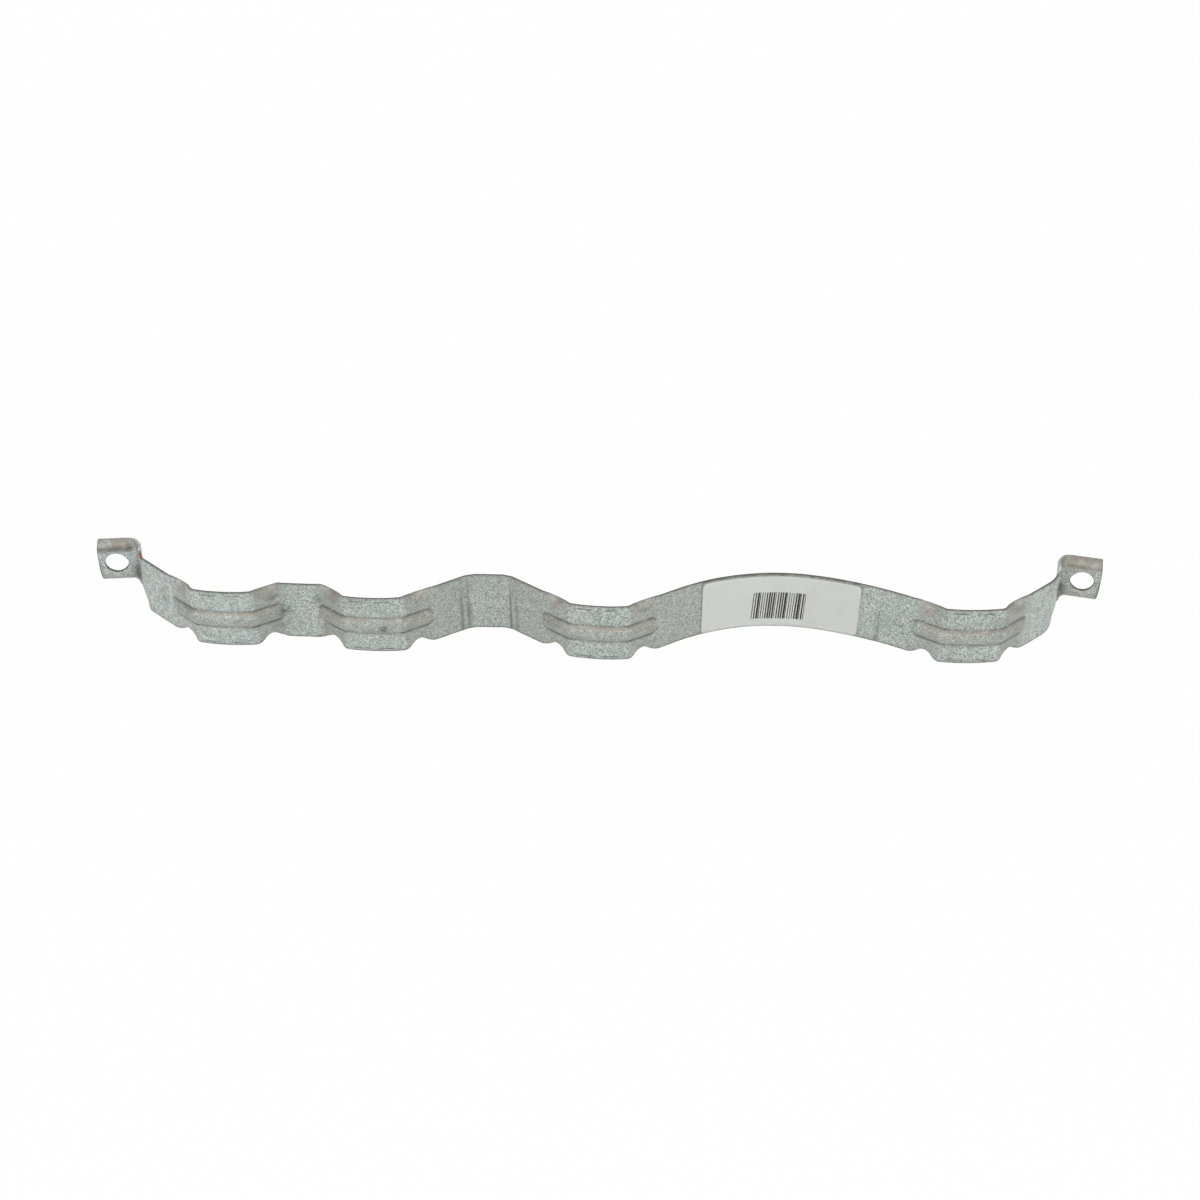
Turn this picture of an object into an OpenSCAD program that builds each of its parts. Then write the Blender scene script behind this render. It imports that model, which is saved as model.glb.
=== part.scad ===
// Motor mount band, opened out and standing on its long edge.
// One strip of sheet steel is bent into four saddles, ribbed, and lipped at its ears.
// X runs along the band, Z across the strip, and the outer face looks toward -Y.

/* [Strip] */
// Width of the strip
strip_w = 31.75; // [28:0.05:36]
// Thickness of the sheet
sheet_t = 1.2; // [0.8:0.1:1.6]
// Radius of the sharp bends, at the middle of the sheet
bend_r = 3.6; // [3:0.1:5]

/* [Saddles] */
// Length of a saddle pad, from corner to corner
pad_len = 25.5; // [22:0.5:30]
// Angle that a pad bows over its length
pad_bow = 15.5; // [6:0.5:20]

/* [Runs between the saddles] */
// Length of the straight tail between an ear's shank and its saddle
tail_len = 32.2; // [28:0.1:40]
// Length of the two short flanks beside the first land
short_flank = 12.8; // [11:0.1:16]
// Length of the first land
land_a = 18.4; // [15:0.1:22]
// Length of the two long flanks beside the second land
long_flank = 30.7; // [26:0.1:36]
// Length of the second land
land_b = 16.5; // [13:0.5:22]
// Distance between the two creases at each end of the second land
crease_gap = 4; // [3:0.5:5]
// Straight run between the third saddle and the label's curve
run_len = 24; // [20:1:34]
// Straight run between the label's curve and the fourth saddle
run_out = 7; // [4:0.5:12]
// Radius of the label's curve, in its tighter half
curve_r = 95; // [80:1:110]
// Radius of the label's curve, in its flatter half
relaxed_r = 175; // [140:5:220]

/* [Rib] */
// Width of the raised rib
rib_w = 8.5; // [5:0.5:10]
// Height of the raised rib
rib_h = 1.7; // [0.8:0.1:2.2]
// How far a rib runs past the corners of its pad
rib_reach = 14.6; // [8:0.2:16]

/* [Edges] */
// Width of the edge that is curled back at the flanks and at the ears
lip_w = 5.6; // [3.5:0.1:6]
// Angle of the curl at a flank
flank_curl = 65; // [30:1:75]
// How far the strip's edge is drawn in at a flank
flank_draw = 1.1; // [0:0.1:1.5]
// Distance from a pad's corner to the deepest point of the curl
curl_at = 7.8; // [6:0.1:8.5]

/* [Ears] */
// Length of an ear, from its bend to its free end
ear_len = 18.8; // [15:0.1:22]
// Length of the left shank, between the tail and the ear's bend
shank_len_l = 16; // [13:0.1:20]
// Length of the right shank
shank_len_r = 18.2; // [13:0.1:20]
// Radius of the wide bend between the right tail and its shank
wide_bend_r = 16; // [8:1:18]
// Radius of the ear's bend, at the middle of the sheet
ear_bend_r = 3.6; // [3:0.1:5]
// Width of the strip's blank at an ear
ear_blank_w = 24.6; // [23:0.1:28]
// Angle of the lip along an ear
ear_lip = 74; // [45:1:80]
// Angle that an ear leans back from upright
ear_lean = 4; // [0:1:12]
// Diameter of the bolt hole
bolt_hole_d = 10.3; // [8:0.1:11]
// Distance from the hole's centre to the ear's free end
hole_inset = 8.1; // [7:0.1:9]
// How far the corners of the ear's end are cut back
end_round = 1.2; // [0:0.1:2]

/* [Label] */
// Length of the label, along the curve
label_len = 71; // [50:1:80]
// Height of the label
label_h = 30.4; // [20:0.1:30.6]
// Thickness of the label
label_t = 0.2; // [0.1:0.05:0.4]
// Distance from the label's lower edge to the strip's
label_foot = 0.4; // [0.2:0.1:0.6]
// Radius of the label's corners
label_corner_r = 2.5; // [1:0.5:5]
// Distance from the third saddle's last corner to the label
label_start = 36; // [28:0.5:50]

/* [Bends] */
// Turn from the left ear to its shank. A turn to the left is positive
turn_ear_l = -76; // [-85:1:-70]
// Turn from the left shank to the left tail
turn_shank_l = 33.5; // [24:0.5:38]
// Turn into the first saddle
turn_s1_in = 27.5; // [20:0.5:32]
// Turn out of the first saddle
turn_s1_out = 21.5; // [18:0.5:28]
// Turn onto the first land
turn_a_in = -28.5; // [-34:0.5:-24]
// Turn off the first land
turn_a_out = -32; // [-34:0.5:-24]
// Turn into the second saddle
turn_s2_in = 25; // [20:0.5:32]
// Turn out of the second saddle
turn_s2_out = 21; // [18:0.5:28]
// Turn onto the second land, over its two creases
turn_b_in = -28; // [-34:0.5:-24]
// Turn off the second land, over its two creases
turn_b_out = -32; // [-34:0.5:-24]
// Turn into the third saddle
turn_s3_in = 21.5; // [18:0.5:30]
// Turn out of the third saddle
turn_s3_out = 23; // [18:0.5:30]
// Turn over the tighter half of the label's curve
turn_curve = -38.5; // [-42:0.5:-34]
// Turn over the flatter half of the label's curve
turn_relaxed = -16.5; // [-20:0.5:-12]
// Turn into the fourth saddle
turn_s4_in = 21; // [18:0.5:28]
// Turn out of the fourth saddle
turn_s4_out = 28.5; // [24:0.5:34]
// Turn from the right tail to the right shank
turn_shank_r = 38; // [28:0.5:42]
// Turn from the right shank to the right ear
turn_ear_r = -87; // [-90:1:-70]

/* [Hidden] */

// Heading of the left ear, measured from X
first_heading = 3.5;
// Largest turn of one facet in a bend, and longest facet in a bow or a curve
bend_step = 11;
long_facet = 7.5;
// How far an ear's lean and narrower blank hold past its bend, and the length over which they fade
ear_hold = 1;
ear_fade = 9;
// Length over which an ear's lip runs out, which ends at the ear's bend
lip_fade = 4.6;
// Half the length of a flank's curl
curl_half = 7.5;
// Length over which a rib rises to its full height
rib_fade = 3.2;
// Length of the ear's end over which its corners are cut back
round_len = 8;
// Share of a pad that bows
bow_share = 0.9;
// Turn of a bolt hole about its own axis, which keeps its seam off the sheet's middle line
seam_turn = 20;

// What stands at the corner that ends a leg
PLAIN = 0;
PAD_STARTS = 1;
PAD_ENDS = 2;

// A leg is [length to the next sharp corner, turn there, radius there, straight facets, what stands there].
bow_r = bow_share * pad_len / 2 / tan(pad_bow / 2);
curve_tangent = curve_r * tan(-turn_curve / 2);
relaxed_tangent = relaxed_r * tan(-turn_relaxed / 2);
function saddle(turn_out) = [
    [pad_len / 2, pad_bow, bow_r, 1, PLAIN],
    [pad_len / 2, turn_out, bend_r, 1, PAD_ENDS]
];
legs = concat(
    [
        [ear_len, turn_ear_l, ear_bend_r, 5, PLAIN],
        [shank_len_l, turn_shank_l, bend_r, 4, PLAIN],
        [tail_len, turn_s1_in, bend_r, 6, PAD_STARTS]
    ],
    saddle(turn_s1_out),
    [
        [short_flank, turn_a_in, bend_r, 4, PLAIN],
        [land_a, turn_a_out, bend_r, 2, PLAIN],
        [short_flank, turn_s2_in, bend_r, 4, PAD_STARTS]
    ],
    saddle(turn_s2_out),
    [
        [long_flank, turn_b_in / 2, bend_r, 6, PLAIN],
        [crease_gap, turn_b_in / 2, bend_r, 1, PLAIN],
        [land_b - crease_gap, turn_b_out / 2, bend_r, 2, PLAIN],
        [crease_gap, turn_b_out / 2, bend_r, 1, PLAIN],
        [long_flank, turn_s3_in, bend_r, 6, PAD_STARTS]
    ],
    saddle(turn_s3_out),
    [
        [run_len + curve_tangent, turn_curve, curve_r, 5, PLAIN],
        [curve_tangent + relaxed_tangent, turn_relaxed, relaxed_r, 0, PLAIN],
        [relaxed_tangent + run_out, turn_s4_in, bend_r, 2, PAD_STARTS]
    ],
    saddle(turn_s4_out),
    [
        [tail_len, turn_shank_r, wide_bend_r, 5, PLAIN],
        [shank_len_r, turn_ear_r, ear_bend_r, 4, PLAIN],
        [ear_len, 0, bend_r, 5, PLAIN]
    ]
);

// Lengths along a leg: the tangent of its bend, its straight part and its bend
function tangent(i) = i < 0 ? 0 : legs[i][2] * tan(abs(legs[i][1]) / 2);
function straight(i) = legs[i][0] - tangent(i) - tangent(i - 1);
function bend_len(i) = legs[i][2] * abs(legs[i][1]) * PI / 180;
function facets(i) = ceil(max(abs(legs[i][1]) / bend_step, bend_len(i) / long_facet));

// The strip is walked in moves of [chord, turn, length of strip]
function leg_moves(i) = let (leg = legs[i], n = facets(i), turn = leg[1] / max(n, 1)) concat(
    [for (k = [1:1:leg[3]]) [straight(i) / leg[3], 0, straight(i) / leg[3]]],
    [for (k = [1:1:n]) [2 * leg[2] * sin(abs(turn) / 2), turn, bend_len(i) / n]]
);
moves = [for (i = [0:len(legs) - 1]) each leg_moves(i)];

// A station is [x, y, heading, length of strip walked so far]
function step(at, move) = let (chord_heading = at[2] + move[1] / 2) [
    at[0] + move[0] * cos(chord_heading),
    at[1] + move[0] * sin(chord_heading),
    at[2] + move[1],
    at[3] + move[2]
];
first = [0, 0, first_heading, 0];
last = len(moves);
stations = [for (i = 0, at = first; i <= last; at = i < last ? step(at, moves[i]) : at, i = i + 1) at];
strip_len = stations[last][3];

// Where along the strip the middle of each bend lies
function half_bend(i) = i < 0 ? 0 : bend_len(i) / 2;
function bend_at(i) = i < 0 ? 0 : bend_at(i - 1) + half_bend(i - 1) + straight(i) + half_bend(i);
function marks(what) = [for (i = [0:len(legs) - 1]) if (legs[i][4] == what) bend_at(i)];
pad_starts = marks(PAD_STARTS);
pad_ends = marks(PAD_ENDS);

// Smooth rise from 0 to 1, and a hump that is 1 at its middle
function rise(x) = let (u = max(0, min(1, x))) u * u * (3 - 2 * u);
function hump(x) = abs(x) < 1 ? pow(cos(90 * x), 2) : 0;

// How far each feature is developed at a place along the strip, from 0 to 1
function from_end(s) = min(s, strip_len - s);
function ear_share(s) = 1 - rise((from_end(s) - ear_len - ear_hold) / ear_fade);
function lip_share(s) = 1 - rise((from_end(s) - ear_len + lip_fade) / lip_fade);
function rib_share(s) = max([
    for (k = [0:len(pad_starts) - 1])
    rise((s - pad_starts[k] + rib_reach) / rib_fade) * rise((pad_ends[k] + rib_reach - s) / rib_fade)
]);
function curl_share(s) = max([
    for (k = [0:len(pad_starts) - 1])
    max(hump((s - pad_starts[k] + curl_at) / curl_half), hump((s - pad_ends[k] - curl_at) / curl_half))
]);

// Columns across the strip: up to 1 is the flat part, and from 1 to 2 is the lip at the edge
rib_column = rib_w / (strip_w - 2 * lip_w);
half_columns = concat([for (k = [1:4]) rib_column * k / 4], [for (k = [0:4]) 1 + k / 4]);
columns = concat([for (k = [len(half_columns) - 1:-1:0]) -half_columns[k]], [0], half_columns);

// Point of the sheet's middle surface, at a station and a column
function sheet_point(at, c) = let (
    s = at[3],
    ear = ear_share(s),
    curl = curl_share(s),
    half_w = strip_w / 2 - (strip_w - ear_blank_w) / 2 * ear - flank_draw * curl,
    flat_w = half_w - lip_w,
    lip_angle = max(0.01, ear_lip * lip_share(s) + flank_curl * curl),
    lip_r = lip_w / (lip_angle * PI / 180),
    on_lip = max(0, abs(c) - 1) * lip_angle,
    across = sign(c) * (min(abs(c), 1) * flat_w + lip_r * sin(on_lip)),
    rib = rib_share(s),
    half_rib = rib_w / 2 * (0.55 + 0.45 * rib),
    back = lip_r * (1 - cos(on_lip)) - rib_h * rib * hump(min(abs(c), 1) * flat_w / half_rib),
    lean = ear_lean * ear,
    off = back * cos(lean) + across * sin(lean),
    up = across * cos(lean) - back * sin(lean),
    cut_back = end_round * pow(abs(across) / half_w, 3) * max(0, 1 - from_end(s) / round_len),
    along = s < strip_len / 2 ? cut_back : -cut_back
) [
    at[0] + along * cos(at[2]) - off * sin(at[2]),
    at[1] + along * sin(at[2]) + off * cos(at[2]),
    strip_w / 2 + up
];
sheet = [for (at = stations) [for (c = columns) sheet_point(at, c)]];

// Offset vector that gives the sheet an even thickness, bends included
function unit(v) = v / norm(v);
function mean_way(a, b, c) = (unit(b - a) + unit(c - b)) / 2;
function way_along(i, j) = let (n = len(stations) - 1)
    i == 0 ? unit(sheet[1][j] - sheet[0][j])
    : i == n ? unit(sheet[n][j] - sheet[n - 1][j])
    : mean_way(sheet[i - 1][j], sheet[i][j], sheet[i + 1][j]);
function way_across(i, j) = let (n = len(columns) - 1)
    j == 0 ? unit(sheet[i][1] - sheet[i][0])
    : j == n ? unit(sheet[i][n] - sheet[i][n - 1])
    : mean_way(sheet[i][j - 1], sheet[i][j], sheet[i][j + 1]);
function outward(i, j) = let (n = cross(way_along(i, j), way_across(i, j))) n / (n * n);
outward_grid = [for (i = [0:len(stations) - 1]) [for (j = [0:len(columns) - 1]) outward(i, j)]];
function layer(depth) = [
    for (i = [0:len(stations) - 1]) [for (j = [0:len(columns) - 1]) sheet[i][j] + depth * outward_grid[i][j]]
];
outer_face = layer(sheet_t / 2);
inner_face = layer(-sheet_t / 2);

// The band stands on z = 0 with the middle of its box over the origin
every_point = concat([for (row = outer_face) each row], [for (row = inner_face) each row]);
function middle(axis) = let (v = [for (p = every_point) p[axis]]) (min(v) + max(v)) / 2;
box_middle = [middle(0), middle(1), 0];

// Closed solid between two grids of points, the first grid in front
module slab(front, behind) {
    rows = len(front);
    cols = len(front[0]);
    function at(side, i, j) = (side * rows + i) * cols + j;
    function quad(a, b, c, d) = [[a, b, c], [a, c, d]];
    faces = concat(
        [
            for (i = [0:rows - 2]) for (j = [0:cols - 2])
            each quad(at(0, i, j), at(0, i, j + 1), at(0, i + 1, j + 1), at(0, i + 1, j))
        ],
        [
            for (i = [0:rows - 2]) for (j = [0:cols - 2])
            each quad(at(1, i, j), at(1, i + 1, j), at(1, i + 1, j + 1), at(1, i, j + 1))
        ],
        [
            for (i = [0:rows - 2])
            each quad(at(0, i, 0), at(0, i + 1, 0), at(1, i + 1, 0), at(1, i, 0))
        ],
        [
            for (i = [0:rows - 2]) let (j = cols - 1)
            each quad(at(0, i, j), at(1, i, j), at(1, i + 1, j), at(0, i + 1, j))
        ],
        [
            for (j = [0:cols - 2])
            each quad(at(0, 0, j), at(1, 0, j), at(1, 0, j + 1), at(0, 0, j + 1))
        ],
        [
            for (j = [0:cols - 2]) let (i = rows - 1)
            each quad(at(0, i, j), at(0, i, j + 1), at(1, i, j + 1), at(1, i, j))
        ]
    );
    polyhedron(points = concat([for (row = front) each row], [for (row = behind) each row]), faces = faces);
}

// A bolt hole's centre and heading, measured in from the ear's free end
module at_bolt_hole(end) {
    heading = end[2];
    inward = end[3] == 0 ? hole_inset : -hole_inset;
    translate([end[0] + inward * cos(heading), end[1] + inward * sin(heading), strip_w / 2])
        rotate([0, 0, heading])
            rotate([-90 - ear_lean, 0, 0])
                rotate([0, 0, seam_turn])
                    children();
}

module band() {
    color([0.68, 0.71, 0.69])
        translate(-box_middle)
            difference() {
                slab(outer_face, inner_face);
                for (end = [stations[0], stations[last]])
                    at_bolt_hole(end)
                        cylinder(h = 4 * sheet_t, d = bolt_hole_d, center = true, $fn = 64);
            }
}

// Place on the strip's outer face at a length along it, label_t or nothing in front of the steel
mid_column = len(half_columns);
function station_before(s) = max([for (i = [0:len(stations) - 2]) if (stations[i][3] <= s) i]);
function face_at(s, proud) = let (
    i = station_before(s),
    share = (s - stations[i][3]) / (stations[i + 1][3] - stations[i][3]),
    a = sheet[i][mid_column] + (sheet_t / 2 + proud) * outward_grid[i][mid_column],
    b = sheet[i + 1][mid_column] + (sheet_t / 2 + proud) * outward_grid[i + 1][mid_column]
) a + share * (b - a);

// The label's own stations: its rounded ends, and the strip's stations that lie well clear of them
label_from = pad_ends[2] + label_start;
label_to = label_from + label_len;
corner_steps = 4;
corner_angles = [for (k = [0:corner_steps]) 90 * k / corner_steps];
label_stations = concat(
    [for (a = corner_angles) [label_from + label_corner_r * (1 - cos(a)), label_corner_r * (1 - sin(a))]],
    [
        for (at = stations)
        if (min(at[3] - label_from, label_to - at[3]) > 1.2 * label_corner_r) [at[3], 0]
    ],
    [for (a = corner_angles) [label_to - label_corner_r * (1 - sin(a)), label_corner_r * (1 - cos(a))]]
);
function label_grid(proud) = [
    for (at = label_stations) let (p = face_at(at[0], proud))
    [[p[0], p[1], label_foot + at[1]], [p[0], p[1], label_foot + label_h - at[1]]]
];

module label() {
    color([0.86, 0.87, 0.85])
        translate(-box_middle)
            slab(label_grid(label_t), label_grid(0));
}

band();
label();
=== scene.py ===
import math

import bpy
import numpy as np
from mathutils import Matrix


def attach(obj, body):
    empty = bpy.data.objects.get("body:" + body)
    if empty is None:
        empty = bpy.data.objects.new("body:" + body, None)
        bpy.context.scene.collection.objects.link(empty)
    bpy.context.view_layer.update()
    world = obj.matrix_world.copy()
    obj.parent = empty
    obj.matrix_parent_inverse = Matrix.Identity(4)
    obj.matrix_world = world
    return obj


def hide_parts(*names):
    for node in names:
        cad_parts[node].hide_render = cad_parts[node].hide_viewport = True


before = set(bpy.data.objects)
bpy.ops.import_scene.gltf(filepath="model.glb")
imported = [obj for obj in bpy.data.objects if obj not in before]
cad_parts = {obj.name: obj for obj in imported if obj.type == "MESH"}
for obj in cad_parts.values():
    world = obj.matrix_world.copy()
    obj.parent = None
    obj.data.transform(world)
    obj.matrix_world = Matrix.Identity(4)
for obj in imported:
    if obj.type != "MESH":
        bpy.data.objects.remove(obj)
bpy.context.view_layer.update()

MM = 0.001

# Strip and saddles
STRIP_W = 31.75
SHEET_T = 1.2
BEND_R = 3.6
WIDE_BEND_R = 16
PAD_LEN = 25.5
PAD_BOW = 15.5
BOW_SHARE = 0.9

# Straight lengths between the corners, from the left ear to the right one
SHANK_LEN_L, SHANK_LEN_R = 16, 18.2
TAIL_LEN = 32.2
SHORT_FLANK, LONG_FLANK = 12.8, 30.7
LAND_A, LAND_B = 18.4, 16.5
CREASE_GAP = 4
RUN_LEN, RUN_OUT = 24, 7

# Turns at the corners, in degrees: a turn to the left is positive
TURN_EAR_L, TURN_SHANK_L = -76, 33.5
TURN_S1_IN, TURN_S1_OUT = 27.5, 21.5
TURN_A_IN, TURN_A_OUT = -28.5, -32
TURN_S2_IN, TURN_S2_OUT = 25, 21
TURN_B_IN, TURN_B_OUT = -28, -32
TURN_S3_IN, TURN_S3_OUT = 21.5, 23
TURN_S4_IN, TURN_S4_OUT = 21, 28.5
TURN_SHANK_R, TURN_EAR_R = 38, -87

# Edges, ribs and ears
LIP_W = 5.6
FLAT = STRIP_W / 2 - LIP_W
FLANK_CURL = 65
FLANK_DRAW = 1.1
CURL_AT = 7.8
CURL_HALF = 7.5
RIB_W = 8.5
RIB_H = 1.7
RIB_REACH = 14.6
RIB_FADE = 3.2
EAR_LEN = 18.8
EAR_BLANK_W = 24.6
EAR_LIP = 74
EAR_LEAN = 4
EAR_HOLD = 1
EAR_FADE = 9
LIP_FADE = 4.6
HOLE_R = 5.15
HOLE_INSET = 8.1
END_ROUND = 1.2
ROUND_LEN = 8

# The label's curve
CURVE_R, CURVE_TURN = 95, -38.5
RELAXED_R, RELAXED_TURN = 175, -16.5

# Label
LABEL_START = 36
LABEL_LEN = 71
LABEL_H = 30.4
LABEL_FOOT = 0.4
LABEL_CORNER_R = 2.5

# Heading of the left ear, and the middle of the path's box, which stands over the origin
FIRST_HEADING = 3.5
PATH_MIDDLE = (224.669, -23.0106)


# The strip's path

def legs_of_band():
    """Each leg is (length to the next corner, turn there, radius there, what stands there)."""
    bow_r = BOW_SHARE * PAD_LEN / 2 / math.tan(math.radians(PAD_BOW / 2))
    curve = CURVE_R * math.tan(math.radians(-CURVE_TURN / 2))
    relaxed = RELAXED_R * math.tan(math.radians(-RELAXED_TURN / 2))

    def saddle(turn_out):
        return [(PAD_LEN / 2, PAD_BOW, bow_r, ""), (PAD_LEN / 2, turn_out, BEND_R, "pad ends")]

    return [
        (EAR_LEN, TURN_EAR_L, BEND_R, "ear"),
        (SHANK_LEN_L, TURN_SHANK_L, BEND_R, "shank"),
        (TAIL_LEN, TURN_S1_IN, BEND_R, "pad starts"),
        *saddle(TURN_S1_OUT),
        (SHORT_FLANK, TURN_A_IN, BEND_R, "land"),
        (LAND_A, TURN_A_OUT, BEND_R, "land"),
        (SHORT_FLANK, TURN_S2_IN, BEND_R, "pad starts"),
        *saddle(TURN_S2_OUT),
        (LONG_FLANK, TURN_B_IN / 2, BEND_R, "crease"),
        (CREASE_GAP, TURN_B_IN / 2, BEND_R, "crease"),
        (LAND_B - CREASE_GAP, TURN_B_OUT / 2, BEND_R, "crease"),
        (CREASE_GAP, TURN_B_OUT / 2, BEND_R, "crease"),
        (LONG_FLANK, TURN_S3_IN, BEND_R, "pad starts"),
        *saddle(TURN_S3_OUT),
        (RUN_LEN + curve, CURVE_TURN, CURVE_R, ""),
        (curve + relaxed, RELAXED_TURN, RELAXED_R, ""),
        (relaxed + RUN_OUT, TURN_S4_IN, BEND_R, "pad starts"),
        *saddle(TURN_S4_OUT),
        (TAIL_LEN, TURN_SHANK_R, WIDE_BEND_R, "shank"),
        (SHANK_LEN_R, TURN_EAR_R, BEND_R, "ear"),
        (EAR_LEN, 0, BEND_R, ""),
    ]


def path_pieces():
    """Straight and bent pieces as (s, length, x, y, heading, curvature), and the bends' middles."""
    legs = legs_of_band()
    tangents = [r * math.tan(math.radians(abs(turn)) / 2) for _, turn, r, _ in legs]
    pieces, marks = [], []
    s, x, y, heading = 0.0, 0.0, 0.0, math.radians(FIRST_HEADING)
    for i, (length, turn, r, what) in enumerate(legs):
        straight = length - tangents[i] - (tangents[i - 1] if i else 0)
        pieces.append((s, straight, x, y, heading, 0.0))
        s += straight
        x += straight * math.cos(heading)
        y += straight * math.sin(heading)
        bend = r * math.radians(abs(turn))
        if bend > 0:
            k = math.copysign(1 / r, turn)
            pieces.append((s, bend, x, y, heading, k))
            marks.append((what, s + bend / 2, bend, turn))
            end = heading + k * bend
            x += (math.sin(end) - math.sin(heading)) / k
            y -= (math.cos(end) - math.cos(heading)) / k
            heading = end
            s += bend
    return pieces, marks, s


PIECES, MARKS, STRIP_LEN = path_pieces()
PAD_STARTS = [s for what, s, _, _ in MARKS if what == "pad starts"]
PAD_ENDS = [s for what, s, _, _ in MARKS if what == "pad ends"]
LABEL_FROM = PAD_ENDS[2] + LABEL_START
STARTS = np.array([p[0] for p in PIECES])
TABLE = np.array(PIECES)


def place(s):
    """x, y and heading of the strip's path at lengths s, straight on beyond its ends."""
    s = np.asarray(s, float)
    i = np.clip(np.searchsorted(STARTS, s, side="right") - 1, 0, len(TABLE) - 1)
    s0, _, x0, y0, h0, k = np.moveaxis(TABLE[i], -1, 0)
    d = s - s0
    bent = np.abs(k) > 1e-12
    safe = np.where(bent, k, 1.0)
    h = h0 + k * d
    x = np.where(bent, x0 + (np.sin(h) - np.sin(h0)) / safe, x0 + d * np.cos(h0))
    y = np.where(bent, y0 - (np.cos(h) - np.cos(h0)) / safe, y0 + d * np.sin(h0))
    return x, y, h


def rise(x):
    """A smooth step from 0 to 1."""
    u = np.clip(x, 0, 1)
    return u * u * (3 - 2 * u)


def hump(x):
    """A smooth bump that is 1 at 0 and ends at -1 and 1."""
    return np.cos(np.pi / 2 * np.clip(x, -1, 1)) ** 2


def most(parts):
    """The largest of several values at each place."""
    return np.max(np.stack(parts), axis=0)


def from_end(s):
    """Distance along the strip to its nearer end."""
    return np.minimum(s, STRIP_LEN - s)


def ear_share(s):
    return 1 - rise((from_end(s) - EAR_LEN - EAR_HOLD) / EAR_FADE)


def lip_share(s):
    return 1 - rise((from_end(s) - EAR_LEN + LIP_FADE) / LIP_FADE)


def rib_share(s):
    return most([
        rise((s - a + RIB_REACH) / RIB_FADE) * rise((b + RIB_REACH - s) / RIB_FADE)
        for a, b in zip(PAD_STARTS, PAD_ENDS)
    ])


def curl_share(s):
    return most([
        np.maximum(hump((s - a + CURL_AT) / CURL_HALF), hump((s - b - CURL_AT) / CURL_HALF))
        for a, b in zip(PAD_STARTS, PAD_ENDS)
    ])


def half_width(s):
    return (
        STRIP_W / 2
        - (STRIP_W - EAR_BLANK_W) / 2 * ear_share(s)
        - FLANK_DRAW * curl_share(s)
    )


def rib_half_width(s):
    return RIB_W / 2 * (0.55 + 0.45 * rib_share(s))


def rib_height(s, across):
    """A pressed rib: a broad back with a crisp foot."""
    v = np.abs(across) / rib_half_width(s)
    back = np.clip(1 - v ** 2.6, 0, None)
    foot = hump(v / 1.12)
    return RIB_H * rib_share(s) * (0.6 * back + 0.4 * foot)


def surface(s, c):
    """Points of the sheet's middle surface. c is 0 on the centreline, 1 at the lip's start, 2 at its edge."""
    s, c = np.broadcast_arrays(np.asarray(s, float), np.asarray(c, float))
    x, y, heading = place(s)
    half = half_width(s)
    flat = half - LIP_W
    lip_angle = np.radians(np.maximum(0.01, EAR_LIP * lip_share(s) + FLANK_CURL * curl_share(s)))
    lip_r = LIP_W / lip_angle
    on_lip = np.maximum(0, np.abs(c) - 1) * lip_angle
    level = np.minimum(np.abs(c), 1) * flat
    across = np.sign(c) * (level + lip_r * np.sin(on_lip))
    back = lip_r * (1 - np.cos(on_lip)) - rib_height(s, level)
    lean = np.radians(EAR_LEAN) * ear_share(s)
    off = back * np.cos(lean) + across * np.sin(lean)
    up = across * np.cos(lean) - back * np.sin(lean)
    cut = END_ROUND * (np.abs(across) / half) ** 3 * np.maximum(0, 1 - from_end(s) / ROUND_LEN)
    along = np.where(s < STRIP_LEN / 2, cut, -cut)
    return np.stack([
        x + along * np.cos(heading) - off * np.sin(heading) - PATH_MIDDLE[0],
        y + along * np.sin(heading) + off * np.cos(heading) - PATH_MIDDLE[1],
        STRIP_W / 2 + up,
    ], axis=-1)


def outward(s, c):
    """Unit normals of the middle surface, on the side of the band's outer face."""
    d = 0.02
    along = surface(s + d, c) - surface(s - d, c)
    across = surface(s, c + d / 5) - surface(s, c - d / 5)
    n = np.cross(along, across)
    return n / np.linalg.norm(n, axis=-1, keepdims=True)


# The band

EDGE_R = 0.22
EDGE_STEPS = (0.0, 0.035, 0.09, 0.16, EDGE_R)
STRAIGHT_STEP = 1.1
BEND_STEP = 0.45
MARK_IN = 1.75
MARK_HALF = 0.28
MARK_DEPTH = 0.07
WAVE_DEPTH = 0.028

# The press's dashes on a pad, from its first corner, and how softly each one ends
DASHES = ((2.6, 10.4), (13.8, 21.2))
DASH_FADE = 0.8

# Columns of the mesh on the lip, as distances from its sheared edge: close together at the press's mark
LIP_COLUMNS = (4.7, 3.9, 3.2, 2.6, 2.15, 1.95, 1.75, 1.55, 1.35, 0.95, 0.55)


def stations_of_band():
    """Lengths along the strip: close together in the bends, and at the sheared ends."""
    s = [np.array(EDGE_STEPS), STRIP_LEN - np.array(EDGE_STEPS)]
    for s0, length, _, _, _, k in PIECES:
        step = BEND_STEP if abs(k) > 0.1 else STRAIGHT_STEP
        n = max(1, math.ceil(length / step))
        s.append(s0 + length * np.arange(n + 1) / n)
    s = np.unique(np.round(np.concatenate(s), 5))
    keep = np.concatenate([[True], np.diff(s) > 0.03])
    s = s[keep]
    near_end = (from_end(s) > EDGE_R + 0.01) & (from_end(s) < EDGE_R + 0.3)
    return s[~near_end]


def columns_of_band():
    """Places across the strip: over the rib, the flat, the lip, the pressed mark and the sheared edge."""
    rib = np.linspace(0, RIB_W / 2 + 0.6, 14)
    plain = np.linspace(RIB_W / 2 + 0.6, FLAT, 7)[1:]
    half = [v / FLAT for v in rib] + [v / FLAT for v in plain]
    lip = [LIP_W - d for d in LIP_COLUMNS + EDGE_STEPS[::-1]]
    half += [1 + v / LIP_W for v in lip]
    half = np.array(half)
    return np.concatenate([-half[:0:-1], half])


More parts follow.
